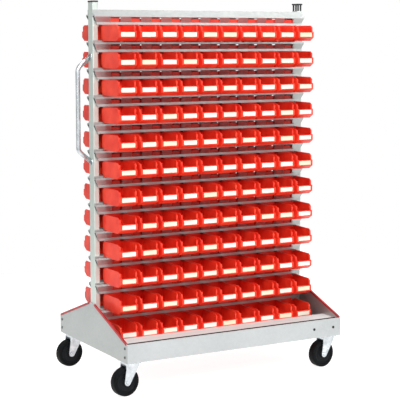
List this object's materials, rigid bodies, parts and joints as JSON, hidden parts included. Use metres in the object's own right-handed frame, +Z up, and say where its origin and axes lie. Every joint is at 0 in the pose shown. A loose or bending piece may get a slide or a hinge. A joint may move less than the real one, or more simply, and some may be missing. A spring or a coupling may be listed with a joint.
{
  "type": "bin trolley",
  "caption": "Double-sided trolley with rows of hanging red storage bins on slotted rails, a push handle and swivel castors.",
  "frame": {"origin": "on the floor under the middle of the trolley's bounding box", "axes": "+Z up, +X along the rack away from the push handle, the front rows of bins face -Y"},
  "size_m": [1.169, 0.711, 1.682],
  "materials": {
    "galvanised_sheet": "light grey galvanised sheet, satin",
    "zinc_plate": "bright zinc plate",
    "black_plastic": "matt black moulding",
    "red_edging": "dull red extruded edging",
    "black_screws": "blackened screws",
    "rim_plastic": "dark grey moulded rim",
    "tyre_rubber": "black rubber",
    "red_plastic": "bright red moulding, half gloss"
  },
  "bodies": {
    "rack": {"end_plate_left": "galvanised_sheet", "end_plate_right": "galvanised_sheet", "front_fascia": "galvanised_sheet", "rear_fascia": "galvanised_sheet", "upright_left": "galvanised_sheet", "upright_right": "galvanised_sheet", "front_rails": "galvanised_sheet", "rear_rails": "galvanised_sheet", "sill_rails": "galvanised_sheet", "castor_bearers": "zinc_plate", "mast_plates": "zinc_plate", "push_handle": "zinc_plate", "corner_screws": "zinc_plate", "castor_plates": "zinc_plate", "castor_bolts": "zinc_plate", "upright_caps": "black_plastic", "rail_end_plugs": "black_plastic", "edge_trims": "red_edging", "fascia_screws": "black_screws"},
    "castor_fl": {"castor_fork_fl": "zinc_plate", "castor_axle_fl": "zinc_plate"},
    "wheel_fl": {"wheel_rim_fl": "rim_plastic", "wheel_tyre_fl": "tyre_rubber"},
    "castor_fr": {"castor_fork_fr": "zinc_plate", "castor_axle_fr": "zinc_plate"},
    "wheel_fr": {"wheel_rim_fr": "rim_plastic", "wheel_tyre_fr": "tyre_rubber"},
    "castor_rl": {"castor_fork_rl": "zinc_plate", "castor_axle_rl": "zinc_plate"},
    "wheel_rl": {"wheel_rim_rl": "rim_plastic", "wheel_tyre_rl": "tyre_rubber"},
    "castor_rr": {"castor_fork_rr": "zinc_plate", "castor_axle_rr": "zinc_plate"},
    "wheel_rr": {"wheel_rim_rr": "rim_plastic", "wheel_tyre_rr": "tyre_rubber"},
    "bins_front_01": {"bins_front_01": "red_plastic"},
    "bins_front_02": {"bins_front_02": "red_plastic"},
    "bins_front_03": {"bins_front_03": "red_plastic"},
    "bins_front_04": {"bins_front_04": "red_plastic"},
    "bins_front_05": {"bins_front_05": "red_plastic"},
    "bins_front_06": {"bins_front_06": "red_plastic"},
    "bins_front_07": {"bins_front_07": "red_plastic"},
    "bins_front_08": {"bins_front_08": "red_plastic"},
    "bins_front_09": {"bins_front_09": "red_plastic"},
    "bins_front_10": {"bins_front_10": "red_plastic"},
    "bins_front_11": {"bins_front_11": "red_plastic"},
    "bins_front_12": {"bins_front_12": "red_plastic"},
    "bins_rear_01": {"bins_rear_01": "red_plastic"},
    "bins_rear_02": {"bins_rear_02": "red_plastic"},
    "bins_rear_03": {"bins_rear_03": "red_plastic"},
    "bins_rear_04": {"bins_rear_04": "red_plastic"},
    "bins_rear_05": {"bins_rear_05": "red_plastic"},
    "bins_rear_06": {"bins_rear_06": "red_plastic"},
    "bins_rear_07": {"bins_rear_07": "red_plastic"},
    "bins_rear_08": {"bins_rear_08": "red_plastic"},
    "bins_rear_09": {"bins_rear_09": "red_plastic"},
    "bins_rear_10": {"bins_rear_10": "red_plastic"},
    "bins_rear_11": {"bins_rear_11": "red_plastic"},
    "bins_rear_12": {"bins_rear_12": "red_plastic"}
  },
  "joints": [
    {"name": "swivel_fl", "type": "hinge", "parent": "rack", "child": "castor_fl", "pos_m": [-0.4765, -0.2925, 0.149], "axis": [0, 0, 1], "continuous": true},
    {"name": "roll_fl", "type": "hinge", "parent": "castor_fl", "child": "wheel_fl", "pos_m": [-0.50231, -0.29567, 0.0625], "axis": [0.1219, -0.9925, 0], "continuous": true},
    {"name": "swivel_fr", "type": "hinge", "parent": "rack", "child": "castor_fr", "pos_m": [0.5395, -0.2925, 0.149], "axis": [0, 0, 1], "continuous": true},
    {"name": "roll_fr", "type": "hinge", "parent": "castor_fr", "child": "wheel_fr", "pos_m": [0.51369, -0.29567, 0.0625], "axis": [0.1219, -0.9925, 0], "continuous": true},
    {"name": "swivel_rl", "type": "hinge", "parent": "rack", "child": "castor_rl", "pos_m": [-0.4765, 0.2925, 0.149], "axis": [0, 0, 1], "continuous": true},
    {"name": "roll_rl", "type": "hinge", "parent": "castor_rl", "child": "wheel_rl", "pos_m": [-0.50231, 0.28933, 0.0625], "axis": [0.1219, -0.9925, 0], "continuous": true},
    {"name": "swivel_rr", "type": "hinge", "parent": "rack", "child": "castor_rr", "pos_m": [0.5395, 0.2925, 0.149], "axis": [0, 0, 1], "continuous": true},
    {"name": "roll_rr", "type": "hinge", "parent": "castor_rr", "child": "wheel_rr", "pos_m": [0.51369, 0.28933, 0.0625], "axis": [0.1219, -0.9925, 0], "continuous": true},
    {"name": "lift_front_01", "type": "slide", "parent": "rack", "child": "bins_front_01", "axis": [0, 0, 1], "range_m": [0, 0.006]},
    {"name": "lift_front_02", "type": "slide", "parent": "rack", "child": "bins_front_02", "axis": [0, 0, 1], "range_m": [0, 0.006]},
    {"name": "lift_front_03", "type": "slide", "parent": "rack", "child": "bins_front_03", "axis": [0, 0, 1], "range_m": [0, 0.006]},
    {"name": "lift_front_04", "type": "slide", "parent": "rack", "child": "bins_front_04", "axis": [0, 0, 1], "range_m": [0, 0.006]},
    {"name": "lift_front_05", "type": "slide", "parent": "rack", "child": "bins_front_05", "axis": [0, 0, 1], "range_m": [0, 0.006]},
    {"name": "lift_front_06", "type": "slide", "parent": "rack", "child": "bins_front_06", "axis": [0, 0, 1], "range_m": [0, 0.006]},
    {"name": "lift_front_07", "type": "slide", "parent": "rack", "child": "bins_front_07", "axis": [0, 0, 1], "range_m": [0, 0.006]},
    {"name": "lift_front_08", "type": "slide", "parent": "rack", "child": "bins_front_08", "axis": [0, 0, 1], "range_m": [0, 0.006]},
    {"name": "lift_front_09", "type": "slide", "parent": "rack", "child": "bins_front_09", "axis": [0, 0, 1], "range_m": [0, 0.006]},
    {"name": "lift_front_10", "type": "slide", "parent": "rack", "child": "bins_front_10", "axis": [0, 0, 1], "range_m": [0, 0.006]},
    {"name": "lift_front_11", "type": "slide", "parent": "rack", "child": "bins_front_11", "axis": [0, 0, 1], "range_m": [0, 0.006]},
    {"name": "lift_front_12", "type": "slide", "parent": "rack", "child": "bins_front_12", "axis": [0, 0, 1], "range_m": [0, 0.006]},
    {"name": "lift_rear_01", "type": "slide", "parent": "rack", "child": "bins_rear_01", "axis": [0, 0, 1], "range_m": [0, 0.006]},
    {"name": "lift_rear_02", "type": "slide", "parent": "rack", "child": "bins_rear_02", "axis": [0, 0, 1], "range_m": [0, 0.006]},
    {"name": "lift_rear_03", "type": "slide", "parent": "rack", "child": "bins_rear_03", "axis": [0, 0, 1], "range_m": [0, 0.006]},
    {"name": "lift_rear_04", "type": "slide", "parent": "rack", "child": "bins_rear_04", "axis": [0, 0, 1], "range_m": [0, 0.006]},
    {"name": "lift_rear_05", "type": "slide", "parent": "rack", "child": "bins_rear_05", "axis": [0, 0, 1], "range_m": [0, 0.006]},
    {"name": "lift_rear_06", "type": "slide", "parent": "rack", "child": "bins_rear_06", "axis": [0, 0, 1], "range_m": [0, 0.006]},
    {"name": "lift_rear_07", "type": "slide", "parent": "rack", "child": "bins_rear_07", "axis": [0, 0, 1], "range_m": [0, 0.006]},
    {"name": "lift_rear_08", "type": "slide", "parent": "rack", "child": "bins_rear_08", "axis": [0, 0, 1], "range_m": [0, 0.006]},
    {"name": "lift_rear_09", "type": "slide", "parent": "rack", "child": "bins_rear_09", "axis": [0, 0, 1], "range_m": [0, 0.006]},
    {"name": "lift_rear_10", "type": "slide", "parent": "rack", "child": "bins_rear_10", "axis": [0, 0, 1], "range_m": [0, 0.006]},
    {"name": "lift_rear_11", "type": "slide", "parent": "rack", "child": "bins_rear_11", "axis": [0, 0, 1], "range_m": [0, 0.006]},
    {"name": "lift_rear_12", "type": "slide", "parent": "rack", "child": "bins_rear_12", "axis": [0, 0, 1], "range_m": [0, 0.006]}
  ]
}
